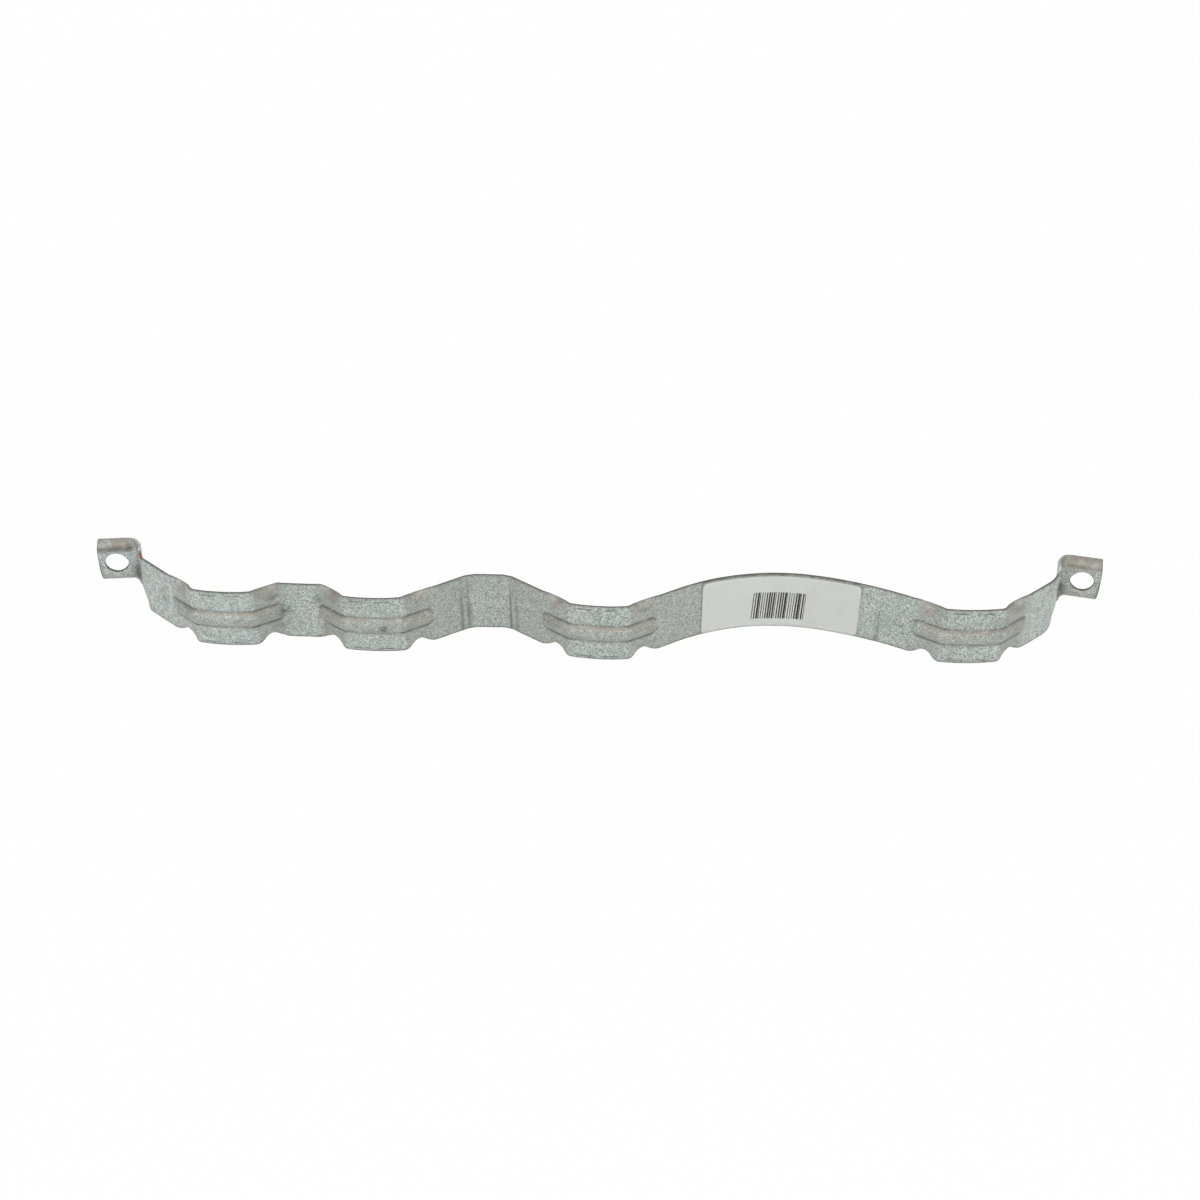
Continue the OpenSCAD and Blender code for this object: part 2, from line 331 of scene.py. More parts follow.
def edge_distance(s, c):
    """Distance to the nearest sheared edge, in the flat blank."""
    side = np.where(np.abs(c) > 1, (2 - np.abs(c)) * LIP_W, LIP_W)
    return np.minimum(side, from_end(s))


def thickness_share(d):
    """Half thickness of the sheet at a distance from its sheared edge, which is rounded over."""
    inside = np.clip(EDGE_R - d, 0, EDGE_R)
    return SHEET_T / 2 - EDGE_R + np.sqrt(EDGE_R ** 2 - inside ** 2)


def dashes(s):
    """Where the press has left a mark along a pad: two dashes on each."""
    return most([
        rise((s - a - lo) / DASH_FADE) * rise((a + hi - s) / DASH_FADE)
        for a in PAD_STARTS for lo, hi in DASHES
    ])


def press_mark(s, c):
    """1 in the middle of the press's dashes, on both lips of a pad."""
    d = (2 - np.abs(c)) * LIP_W
    return dashes(s) * hump((d - MARK_IN) / (2 * MARK_HALF))


def waviness(s, c):
    """The sheet is never quite flat: a slow wave of a few hundredths of a millimetre."""
    v = c * 8
    wave = (
        np.sin(0.21 * s + 0.13 * v + 0.7)
        + 0.7 * np.sin(0.47 * s - 0.22 * v + 2.1)
        + 0.5 * np.sin(0.83 * s + 0.41 * v + 4.0)
    )
    return WAVE_DEPTH * wave


def face(s, c, side):
    """A face of the sheet: side is 1 for the outer one and -1 for the inner one."""
    depth = side * thickness_share(edge_distance(s, c)) + waviness(s, c)
    if side > 0:
        depth = depth - MARK_DEPTH * press_mark(s, c)
    return surface(s, c) + depth[..., None] * outward(s, c)


def blot(s, c, at, across, long, wide):
    """A soft spot of a given length and width, in millimetres, at a place on the sheet."""
    level = np.where(np.abs(c) > 1, np.sign(c) * (FLAT + (np.abs(c) - 1) * LIP_W), c * FLAT)
    return np.exp(-(((s - at) / long) ** 2 + ((level - across) / wide) ** 2))


# Rubbed into the zinc by the press, most of them at the second land's bends: (place, width, strength)
TOOL_LINES = (
    (188.4, 0.5, 1.1), (192.0, 0.9, 0.75), (211.2, 0.5, 1.0), (214.6, 0.45, 0.6), (384.0, 1.3, 0.3),
)

# Smudges of the outer face, and a painted shadow on the left ear's lip beside its bend at 14.8: (place along
# the strip, place across it, length, width, strength)
SMUDGES_AND_SHADOW = (
    (102.5, 9.7, 4.0, 0.9, 0.8), (105.9, 0.0, 3.2, 2.4, 1.0), (103.5, -8.6, 3.2, 1.8, 0.6),
    (122.0, 8.5, 2.6, 2.8, 0.6), (126.5, 4.9, 4.0, 0.9, 0.6), (124.5, -9.0, 3.6, 1.3, 0.5),
    (152.6, -0.7, 1.5, 2.4, 1.3), (383.2, -13.6, 1.0, 2.6, 0.8), (395.3, -6.6, 0.6, 0.7, 1.6),
    (393.9, -2.3, 1.0, 0.5, 1.4), (381.5, -15.3, 1.6, 0.5, 0.9), (60.0, 3.0, 5.0, 4.0, 0.25),
    (246.0, -1.5, 3.0, 2.0, 0.3), (436.0, 8.0, 3.5, 2.5, 0.35), (232.0, 2.0, 4.0, 4.0, 0.35),
    (14.8, 12.2, 1.5, 2.2, 0.8), (46.8, -1.0, 2.6, 7.0, 0.4), (7.5, 11.0, 4.5, 0.9, 0.35),
)

# How strongly shade is painted on the flanks before and after each saddle, and how far out from it
FLANK_SHADE = ((0.3, 0.95), (0.95, 0.75), (0.65, 0.75), (0.6, 0.9))
FLANK_SHADE_REACH = 17

# The rust spot on the upper edge of the left shank: its place, and its reach along and across
RUST_AT = 32.0
RUST_REACH = (2.1, 0.22)


def flank_shade_and_tone(s):
    """Painted shade on the flanks beside the saddles, and a darker tone on stretches of the long straps and
    near the right ear, less on the second land.
    """
    flanks = most([
        np.maximum(
            before * rise((s - a + FLANK_SHADE_REACH) / 8) * rise((a - 0.2 - s) / 1.0),
            after * rise((s - b - 0.2) / 1.0) * rise((b + FLANK_SHADE_REACH - s) / 8),
        )
        for (before, after), a, b in zip(FLANK_SHADE, PAD_STARTS, PAD_ENDS)
    ])
    straps = 0.55 * np.maximum(
        rise((s - PAD_ENDS[1] - 6) / 4) * rise((PAD_STARTS[2] - 4 - s) / 4),
        rise((s - PAD_ENDS[2] - 6) / 4) * rise((PAD_ENDS[2] + 40 - s) / 6),
    )
    land = 0.35 * rise((s - 192.5) / 1.5) * rise((210.5 - s) / 1.5)
    right_ear = 0.4 * rise((s - STRIP_LEN + 18) / 3)
    return most([flanks, straps - land, right_ear])


def ear_bend_dirt_and_shade(s, c):
    """Dark dirt and painted shade, low inside the bend of each ear."""
    end = from_end(s)
    return 1.5 * np.exp(-(((end - 18.2) / 2.6) ** 2 + ((c + 0.95) / 0.8) ** 2))


def on_label(s):
    """1 along the part of the strip that the label covers."""
    return rise(s - LABEL_FROM) * rise(LABEL_FROM + LABEL_LEN - s)


def shoulder(s):
    """1 where the upper lip of each ear wraps round into the shank: grey, with no dark edge."""
    end = from_end(s)
    reach = np.where(s < STRIP_LEN / 2, 30.5, 34)
    return rise((end - 13) / 2) * rise((reach - end) / 3)


def rib_foot_shade(s, c):
    """Painted shade at the foot of each rib: crisper above it, and weaker on the pad."""
    v = np.abs(c) * (half_width(s) - LIP_W)
    upper = c > 0
    foot_at, foot_wide = np.where(upper, 0.1, 0.35), np.where(upper, 0.6, 0.8)
    foot = np.exp(-(((v - rib_half_width(s) - foot_at) / foot_wide) ** 2)) * (np.abs(c) <= 1)
    on_pad = most([rise((s - a) / 2) * rise((b - s) / 2) for a, b in zip(PAD_STARTS, PAD_ENDS)])
    return foot * np.sqrt(rib_share(s)) * (1.15 - 0.5 * on_pad)


def rim_grime_and_shade(s, c):
    """Dark lines along the sheared edges, partly dirt and partly painted shade of the rounded edge: a thin
    line above, darker as a painted shadow along the label's top, and a broad one below except at the label.
    """
    edge = edge_distance(s, c)
    papered = on_label(s)
    return np.where(
        c > 0,
        (0.45 + 0.5 * papered) * np.exp(-((edge / (0.42 + 0.2 * papered)) ** 2)),
        (1 - papered) * np.exp(-((edge / 0.8) ** 2)),
    )


def ear_fold_shade(s, c):
    """Painted shade in the concave fold between each ear and its upper lip."""
    left = s < STRIP_LEN / 2
    strength, wide = np.where(left, 0.55, 0.35), np.where(left, 0.25, 0.1)
    return strength * np.exp(-(((np.abs(c) - 1.15) / wide) ** 2)) * lip_share(s) * (c > 0)


def tool_lines(s, c):
    """Lines across the strip, stronger towards its lower edge."""
    return most([
        strength * np.exp(-(((s - at) / wide) ** 2)) * np.clip(1.15 - 0.45 * (c + 1), 0.25, 1)
        for at, wide, strength in TOOL_LINES
    ])


def grime_and_shade_on(s, c, outer):
    """Dark marks: dirt and the press's marks, and painted shade at the ribs' feet, in the ears' bends and
    folds and along the edges, kept off the edge where an ear's lip wraps round into the shank.
    """
    # painted shade in the concave bend of each ear
    bends = most([0.3 * np.exp(-(((s - at) / 0.9) ** 2)) for what, at, _, _ in MARKS if what == "ear"])
    parts = [rib_foot_shade(s, c), 0.95 * press_mark(s, c), bends, rim_grime_and_shade(s, c), ear_fold_shade(s, c)]
    if outer:
        parts += [tool_lines(s, c), ear_bend_dirt_and_shade(s, c)]
    wrapped = shoulder(s) * (c > 0) * (np.abs(c) > 1.5)
    return np.clip(most(parts) * (1 - wrapped), 0, 1)


def formed_and_shade_on(s, c):
    """A brown tint on metal that the press has drawn, partly painted shade, stronger on the surfaces that
    face up: curled flanks, the ears' lips, and the slopes and backs of the ribs.
    """
    out = np.abs(c)
    v = out * (half_width(s) - LIP_W)
    left, upper, level = s < STRIP_LEN / 2, c > 0, out <= 1
    curl = rise((out - 0.8) / 0.6) * curl_share(s) * np.where(upper, 0.68, 0.45)
    lip = rise((out - 0.8) / 0.35) * lip_share(s) * np.where(upper, 1.0, 0.3)
    ear = lip * np.where(left, 1.1 - 0.4 * rise((out - 1.2) / 0.6), 0.8)
    near_ear = shoulder(s) * upper * rise((28 - from_end(s)) / 6) * rise((out - 0.9) / 0.6)
    ear = np.maximum(ear, near_ear * np.where(left, 0.55, 0.8))
    slopes = np.exp(-(((v - 3.3) / 0.9) ** 2)) * rib_share(s) * level * np.where(upper, 0.8, 0.4)
    back = 0.3 * most([
        rise((s - a + 14) / 5) * rise((b + 14 - s) / 5) for a, b in zip(PAD_STARTS, PAD_ENDS)
    ])
    return np.clip(most([curl, ear, slopes, back * (v < 3) * level]), 0, 1)


def sheared_on(s, c, outer):
    """Bare metal at the sheared edges: less on the outer face, none below the label or on a wrapped lip."""
    upper = c > 0
    sheared = np.clip(1 - edge_distance(s, c) / (0.8 * EDGE_R), 0, 1) * (1 - shoulder(s) * upper)
    if outer:
        sheared = sheared * np.where(upper, 0.35, 0.75)
    return sheared * np.where(upper, 1, 1 - on_label(s))


def marks_on(s, c, outer):
    """What the finish needs to know at a place: dirt with painted shade, drawn metal with painted shade on
    up-facing surfaces, sheared metal, rust.
    """
    strength = 1.0 if outer else 0.65
    rust = np.exp(-(((s - RUST_AT) / RUST_REACH[0]) ** 2 + ((c - 2) / RUST_REACH[1]) ** 2))
    return np.stack([
        strength * grime_and_shade_on(s, c, outer),
        strength * formed_and_shade_on(s, c),
        sheared_on(s, c, outer),
        rust,
    ], axis=-1)


def wear_on(s, c, outer):
    """More for the finish: painted shade on the flanks with a darker tone on the straps, smudges with one
    painted shadow, the paler tails, and a painted shadow beside the label's ends.
    """
    smudge_and_shadow = 0 * s * c
    if outer:
        smudge_and_shadow = most([k * blot(s, c, at, across, long, wide) for at, across, long, wide, k in SMUDGES_AND_SHADOW])
    pale = most([
        1.3 * rise((s - 34) / 3) * rise((PAD_STARTS[0] - 6 - s) / 6),
        0.75 * rise((s - PAD_ENDS[3] - 12) / 6) * rise((STRIP_LEN - 38 - s) / 3),
        0.8 * rise((17 - s) / 3) * (np.abs(c) < 1),
        0.8 * rise((s - PAD_STARTS[0]) / 1.5) * rise((PAD_ENDS[0] - s) / 1.5) * (np.abs(c) > 0.4),
    ])
    from_label = np.minimum(np.abs(s - LABEL_FROM), np.abs(s - LABEL_FROM - LABEL_LEN))
    # a painted shadow on the steel beside the label's ends
    around = np.exp(-((from_label / 0.5) ** 2)) * (1.0 if outer else 0.0)
    whole = np.ones_like(c)
    return np.stack([flank_shade_and_tone(s) * whole, smudge_and_shadow, pale * whole, around * whole], axis=-1)


# Half the side of the square around a bolt hole, and where its rings lie between the square and the rim
PATCH_REACH = 6.55
RING_SHARES = (0.25, 0.5, 0.72, 0.88)


def patch_bounds(s, c, centre):
    """Rows and columns of the square of faces around a bolt hole that its rings replace."""
    flat = half_width(np.array(centre)) - LIP_W
    rows = np.where(np.abs(s - centre) <= PATCH_REACH)[0]
    cols = np.where(np.abs(c) * flat <= min(PATCH_REACH, flat))[0]
    return rows[0], rows[-1], cols[0], cols[-1]


def hole_rim(angle, sign):
    """The bolt hole's radius: round, and drawn to a blunt point towards the ear's bend."""
    from_bend = np.degrees(np.arccos(np.clip(np.cos(angle) * sign, -1, 1)))
    point = np.exp(-((from_bend / 17) ** 2))
    shoulder = np.exp(-(((from_bend - 46) / 20) ** 2))
    return HOLE_R * (1 + 0.03 * point - 0.035 * shoulder)


class BandMesh:
    """Gathers points, faces and finish marks of the band."""

    def __init__(self):
        self.points, self.marks, self.wear, self.faces = [], [], [], []
        self.count = 0

    def add_points(self, points, marks, wear):
        points = points.reshape(-1, 3)
        self.points.append(points)
        self.marks.append(marks.reshape(-1, 4))
        self.wear.append(wear.reshape(-1, 4))
        first = self.count
        self.count += len(points)
        return first

    def quads(self, a, b, c, d):
        self.faces.append(np.stack([a, b, c, d], axis=-1).reshape(-1, 4))


def build_band():
    s, c = stations_of_band(), columns_of_band()
    grid_s, grid_c = np.meshgrid(s, c, indexing="ij")
    mesh = BandMesh()
    rows, cols = grid_s.shape
    index = {}
    holes = ((HOLE_INSET, 1), (STRIP_LEN - HOLE_INSET, -1))
    patches = [patch_bounds(s, c, centre) for centre, _ in holes]
    covered = np.zeros((rows - 1, cols - 1), bool)
    for r0, r1, c0, c1 in patches:
        covered[r0:r1, c0:c1] = True
    for side in (1, -1):
        first = mesh.add_points(
            face(grid_s, grid_c, side),
            marks_on(grid_s, grid_c, side > 0),
            wear_on(grid_s, grid_c, side > 0),
        )
        index[side] = first + np.arange(rows * cols).reshape(rows, cols)
        n = index[side]
        a, b, d, e = n[:-1, :-1], n[:-1, 1:], n[1:, 1:], n[1:, :-1]
        open_faces = ~covered
        if side > 0:
            mesh.quads(a[open_faces], b[open_faces], d[open_faces], e[open_faces])
        else:
            mesh.quads(a[open_faces], e[open_faces], d[open_faces], b[open_faces])
    o, i = index[1], index[-1]
    mesh.quads(o[:-1, 0], o[1:, 0], i[1:, 0], i[:-1, 0])
    mesh.quads(o[:-1, -1], i[:-1, -1], i[1:, -1], o[1:, -1])
    mesh.quads(o[0, :-1], i[0, :-1], i[0, 1:], o[0, 1:])
    mesh.quads(o[-1, :-1], o[-1, 1:], i[-1, 1:], i[-1, :-1])
    for (centre, sign), patch in zip(holes, patches):
        add_hole(mesh, s, c, index, patch, centre, sign)
    return mesh


def add_hole(mesh, s, c, index, patch, centre, sign):
    """Rings from the patch's border to the bolt hole, then through the sheet."""
    r0, r1, c0, c1 = patch
    border = (
        [(r, c0) for r in range(r0, r1)] + [(r1, k) for k in range(c0, c1)]
        + [(r, c1) for r in range(r1, r0, -1)] + [(r0, k) for k in range(c1, c0, -1)]
    )
    flat = float(half_width(np.array(centre)) - LIP_W)
    at = np.array([(s[r] - centre, c[k] * flat) for r, k in border])
    angle = np.arctan2(at[:, 1], at[:, 0])
    rim = hole_rim(angle, sign)[:, None] * np.stack([np.cos(angle), np.sin(angle)], axis=1)
    out = rim / np.linalg.norm(rim, axis=1)[:, None]
    rings = {}
    for side in (1, -1):
        last = rim + out * EDGE_R
        ring = [(at + share * (last - at), None) for share in RING_SHARES]
        ring += [(rim + out * d, d) for d in reversed(EDGE_STEPS)]
        made = [np.array([index[side][r, k] for r, k in border])]
        for flat_at, d in ring:
            rs, rc = centre + flat_at[:, 0], flat_at[:, 1] / flat
            half_t = SHEET_T / 2 if d is None else thickness_share(np.full(len(rs), d))
            depth = side * half_t + waviness(rs, rc)
            points = surface(rs, rc) + np.reshape(depth, (-1, 1)) * outward(rs, rc)
            marks = marks_on(rs, rc, side > 0)
            if d is not None:
                marks[:, 2] = np.maximum(marks[:, 2], np.clip(1 - d / (0.8 * EDGE_R), 0, 1))
                marks[:, 0] = np.maximum(marks[:, 0], 0.6)
            first = mesh.add_points(points, marks, wear_on(rs, rc, side > 0))
            made.append(first + np.arange(len(rs)))
        rings[side] = made
        for near, far in zip(made[:-1], made[1:]):
            near2, far2 = np.roll(near, -1), np.roll(far, -1)
            if side > 0:
                mesh.quads(near, far, far2, near2)
            else:
                mesh.quads(near, near2, far2, far)
    a, b = rings[1][-1], rings[-1][-1]
    mesh.quads(a, b, np.roll(b, -1), np.roll(a, -1))


def object_from(name, points, faces, **attributes):
    """An object from points in millimetres, with a colour attribute for each set of values given."""
    mesh = bpy.data.meshes.new(name)
    mesh.from_pydata((points * MM).tolist(), [], [list(map(int, f)) for f in faces])
    mesh.update()
    for attribute_name, values in attributes.items():
        attribute = mesh.attributes.new(attribute_name, "FLOAT_COLOR", "POINT")
        attribute.data.foreach_set("color", values.astype(np.float32).ravel())
    mesh.shade_smooth()
    made = bpy.data.objects.new(name, mesh)
    bpy.context.scene.collection.objects.link(made)
    return made


band_mesh = build_band()
band = object_from(
    "formed_band",
    np.concatenate(band_mesh.points),
    np.concatenate(band_mesh.faces),
    marks=np.concatenate(band_mesh.marks),
    wear=np.concatenate(band_mesh.wear),
)
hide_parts("band")
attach(band, "root")


# The label

# How far the paper's underside and its face stand off the steel
PAPER_UNDER, PAPER_OVER = 0.004, 0.13
# The print's places are kept in the mesh as shares of this length
PRINT_SPAN = 100.0


def label_outline(u):
    """Lower and upper edge of the label at a length u from its left end, with rounded corners."""
    d = np.clip(LABEL_CORNER_R - np.minimum(u, LABEL_LEN - u), 0, LABEL_CORNER_R)
    cut = LABEL_CORNER_R - np.sqrt(LABEL_CORNER_R ** 2 - d ** 2)
    return LABEL_FOOT + cut, LABEL_FOOT + LABEL_H - cut


def label_lift(u, z):
    """How far the paper stands off the steel: bedded down, with corners and a crease that lift a little."""
    ends = np.minimum(u, LABEL_LEN - u)
    top = LABEL_FOOT + LABEL_H - z
    corner = np.exp(-((ends / 3) ** 2 + (top / 3) ** 2))
    return 0.05 * corner + 0.012 * (1 + np.sin(0.9 * u + 0.5 * z)) * np.exp(-ends / 6)


def build_label():
    """Points and faces of the paper, and for each point its place on the label and its distance inward."""
    corner = LABEL_CORNER_R * (1 - np.cos(np.linspace(0, np.pi / 2, 9)))
    body = np.linspace(LABEL_CORNER_R, LABEL_LEN - LABEL_CORNER_R, 76)
    u = np.concatenate([corner[:-1], body, (LABEL_LEN - corner)[::-1][1:]])
    share = np.linspace(0, 1, 27)
    low, high = label_outline(u)
    z = low[:, None] + share[None, :] * (high - low)[:, None]
    grid_u = np.repeat(u[:, None], len(share), axis=1)
    level = np.abs(z - STRIP_W / 2)
    c = np.sign(z - STRIP_W / 2) * np.where(level <= FLAT, level / FLAT, 1 + (level - FLAT) / LIP_W)
    s = LABEL_FROM + grid_u
    base, n = surface(s, c), outward(s, c)
    wave = waviness(s, c)
    under = base + (SHEET_T / 2 + wave + PAPER_UNDER)[..., None] * n
    thick = PAPER_OVER + label_lift(grid_u, z)
    over = base + (SHEET_T / 2 + wave + thick)[..., None] * n
    rows, cols = z.shape
    points = np.concatenate([over.reshape(-1, 3), under.reshape(-1, 3)])
    o = np.arange(rows * cols).reshape(rows, cols)
    i = o + rows * cols
    faces = []

    def quads(a, b, d, e):
        faces.append(np.stack([a, b, d, e], axis=-1).reshape(-1, 4))

    quads(o[:-1, :-1], o[:-1, 1:], o[1:, 1:], o[1:, :-1])
    quads(i[:-1, :-1], i[1:, :-1], i[1:, 1:], i[:-1, 1:])
    quads(o[:-1, 0], o[1:, 0], i[1:, 0], i[:-1, 0])
    quads(o[:-1, -1], i[:-1, -1], i[1:, -1], o[1:, -1])
    quads(o[0, :-1], i[0, :-1], i[0, 1:], o[0, 1:])
    quads(o[-1, :-1], o[-1, 1:], i[-1, 1:], i[-1, :-1])
    from_sides = np.minimum(grid_u, LABEL_LEN - grid_u)
    inward = np.minimum(from_sides, np.minimum(z - LABEL_FOOT, LABEL_FOOT + LABEL_H - z))
    marks = np.stack([
        grid_u / PRINT_SPAN, z / PRINT_SPAN, np.clip(inward / 3, 0, 1), np.ones_like(z),
    ], axis=-1)
    marks = np.concatenate([marks.reshape(-1, 4), marks.reshape(-1, 4)])
    return points, np.concatenate(faces), marks


label_points, label_faces, label_marks = build_label()
label = object_from("paper_label", label_points, label_faces, print_place=label_marks)
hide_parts("label")
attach(label, "root")


# Finishes

def srgb(r, g, b):
    """A colour as it is seen, from 0 to 255, for a socket."""
    def linear(v):
        v /= 255
        return v / 12.92 if v <= 0.04045 else ((v + 0.055) / 1.055) ** 2.4

    return (linear(r), linear(g), linear(b), 1.0)


class Tree:
    """Short hand for a node tree."""

    def __init__(self, tree):
        self.tree = tree
        self.nodes = tree.nodes
        self.links = tree.links

    def node(self, kind, **values):
        made = self.nodes.new(kind)
        for key, value in values.items():
            setattr(made, key, value)
        return made

    def put(self, socket, value):
        if isinstance(value, bpy.types.NodeSocket):
            self.links.new(value, socket)
        else:
            socket.default_value = value

    def noise(self, place, scale, detail):
        n = self.node("ShaderNodeTexNoise")
        self.put(n.inputs["Vector"], place)
        n.inputs["Scale"].default_value = scale
        n.inputs["Detail"].default_value = detail
        return n.outputs["Fac"]

    def between(self, value, low, high, to_low=0.0, to_high=1.0):
        n = self.node("ShaderNodeMapRange", interpolation_type="SMOOTHSTEP")
        self.put(n.inputs["Value"], value)
        n.inputs["From Min"].default_value = low
        n.inputs["From Max"].default_value = high
        n.inputs["To Min"].default_value = to_low
        n.inputs["To Max"].default_value = to_high
        return n.outputs["Result"]

    def sums(self, operation, a, b=0.0, clamp=False):
        n = self.node("ShaderNodeMath", operation=operation, use_clamp=clamp)
        self.put(n.inputs[0], a)
        self.put(n.inputs[1], b)
        return n.outputs[0]

    def mix(self, share, a, b, blend="MIX"):
        n = self.node("ShaderNodeMix", data_type="RGBA", blend_type=blend, clamp_factor=True)
        self.put(n.inputs[0], share)
        self.put(n.inputs[6], a)
        self.put(n.inputs[7], b)
        return n.outputs[2]


def group_of(name, inputs, outputs):
    """A node group with its sockets, and the ends of its input and output nodes."""
    tree = bpy.data.node_groups.new(name, "ShaderNodeTree")
    for label_text, kind, value in inputs:
        socket = tree.interface.new_socket(label_text, in_out="INPUT", socket_type=kind)
        if value is not None:
            socket.default_value = value
    for label_text, kind in outputs:
        tree.interface.new_socket(label_text, in_out="OUTPUT", socket_type=kind)
    t = Tree(tree)
    return tree, t, t.node("NodeGroupInput").outputs, t.node("NodeGroupOutput").inputs


def fine_grain_group():
    """Specks and soft patches at two scales, for both the zinc and the paper."""
    tree, t, given, out = group_of(
        "fine_grain",
        [("Place", "NodeSocketVector", None), ("Grain Size", "NodeSocketFloat", 1000.0),
         ("Patch Size", "NodeSocketFloat", 100.0)],
        [("Grain", "NodeSocketFloat"), ("Patches", "NodeSocketFloat")],
    )
    grain = t.node("ShaderNodeTexNoise")
    t.put(grain.inputs["Vector"], given["Place"])
    t.put(grain.inputs["Scale"], given["Grain Size"])
    grain.inputs["Detail"].default_value = 3.0
    patches = t.node("ShaderNodeTexNoise")
    t.put(patches.inputs["Vector"], given["Place"])
    t.put(patches.inputs["Scale"], given["Patch Size"])
    patches.inputs["Detail"].default_value = 2.0
    t.put(out["Grain"], grain.outputs["Fac"])
    t.put(out["Patches"], patches.outputs["Fac"])
    return tree


FINE_GRAIN = fine_grain_group()


def fine_grain(t, place, grain_size, patch_size):
    n = t.node("ShaderNodeGroup", node_tree=FINE_GRAIN)
    t.put(n.inputs["Place"], place)
    n.inputs["Grain Size"].default_value = grain_size
    n.inputs["Patch Size"].default_value = patch_size
    return n.outputs["Grain"], n.outputs["Patches"]


def new_material(name):
    material = bpy.data.materials.new(name)
    material.use_nodes = True
    t = Tree(material.node_tree)
    t.nodes.clear()
    shader = t.node("ShaderNodeBsdfPrincipled")
    out = t.node("ShaderNodeOutputMaterial")
    t.links.new(shader.outputs[0], out.inputs[0])
    return material, t, shader


def channels(t, name):
    """The four values of a colour attribute of the mesh."""
    attribute = t.node("ShaderNodeAttribute", attribute_name=name)
    split = t.node("ShaderNodeSeparateColor")
    t.links.new(attribute.outputs["Color"], split.inputs[0])
    return split.outputs[0], split.outputs[1], split.outputs[2], attribute.outputs["Alpha"]


# Colours of the zinc
ZINC_DARK, ZINC_LIGHT = srgb(146, 156, 149), srgb(209, 215, 210)
CELL_LIGHT, CELL_SEAM = srgb(218, 223, 218), srgb(108, 118, 110)
ZINC_PATCH = srgb(166, 173, 174)
PALE_LIFT = srgb(64, 72, 74)
PALE_LIGHT, PALE_DARK = srgb(208, 217, 218), srgb(146, 155, 155)
DARK_SPECK = srgb(96, 102, 94)

# Colours of what the press, the shears and the weather left on it, and of painted shade and shadow
# the first paints shade on the flanks; the second is the brown of drawn metal, partly painted shade on
# surfaces facing up
SHADED_FLANK_ZINC, FORMED_AND_SHADED_ZINC = srgb(143, 146, 137), srgb(146, 138, 128)
# the first colour also paints a shadow on the left ear's lip, the second also paints shade at the ribs' feet,
# in the ears' bends and folds and along the edges
SMUDGE_AND_SHADOW_COLOUR, GRIME_AND_SHADE = srgb(76, 82, 74), srgb(84, 84, 76)
# Painted shadow on the steel beside the label's ends
LABEL_END_SHADOW = srgb(100, 104, 98)
SHEARED_EDGE = srgb(80, 70, 60)
RUST = srgb(150, 76, 58)

# Sizes of the zinc's textures: cells, mottle, specks and dots per metre
CELLS = 950.0
BROWN, MOTTLE, SPECKS, DOTS = 260.0, 520.0, 1800.0, 1500.0


def spangle(t, place, feature):
    """The zinc's cells, at the same places for their tones and for their seams."""
    n = t.node("ShaderNodeTexVoronoi", feature=feature)
    t.put(n.inputs["Vector"], place)
    n.inputs["Scale"].default_value = CELLS
    return n.outputs


def zinc_colour(t, place, grain, patches, cell, pale):
    """Clean galvanised steel: fine grain, spangle, soft patches, the paler stretches and dark specks."""
    seams = spangle(t, place, "DISTANCE_TO_EDGE")["Distance"]
    mottle = t.noise(place, MOTTLE, 2.0)
    speck = t.noise(place, SPECKS, 1.0)
    colour = t.mix(t.between(grain, 0.4, 0.6), ZINC_DARK, ZINC_LIGHT)
    light_cell = t.sums("MULTIPLY", t.between(cell, 0.6, 0.95), 0.6)
    colour = t.mix(light_cell, colour, CELL_LIGHT)
    seam = t.sums("MULTIPLY", t.between(seams, 0.0, 0.18, 0.7, 0.0), patches)
    colour = t.mix(seam, colour, CELL_SEAM)
    colour = t.mix(t.between(patches, 0.5, 0.72, 0.0, 0.3), colour, ZINC_PATCH)
    colour = t.mix(pale, colour, PALE_LIFT, "SCREEN")
    light_mottle = t.sums("MULTIPLY", pale, t.between(mottle, 0.52, 0.62, 0.0, 0.5))
    colour = t.mix(light_mottle, colour, PALE_LIGHT)
    dark_mottle = t.sums("MULTIPLY", pale, t.between(mottle, 0.38, 0.47, 0.4, 0.0))
    colour = t.mix(dark_mottle, colour, PALE_DARK)
    return t.mix(t.between(speck, 0.61, 0.67, 0.0, 0.75), colour, DARK_SPECK)


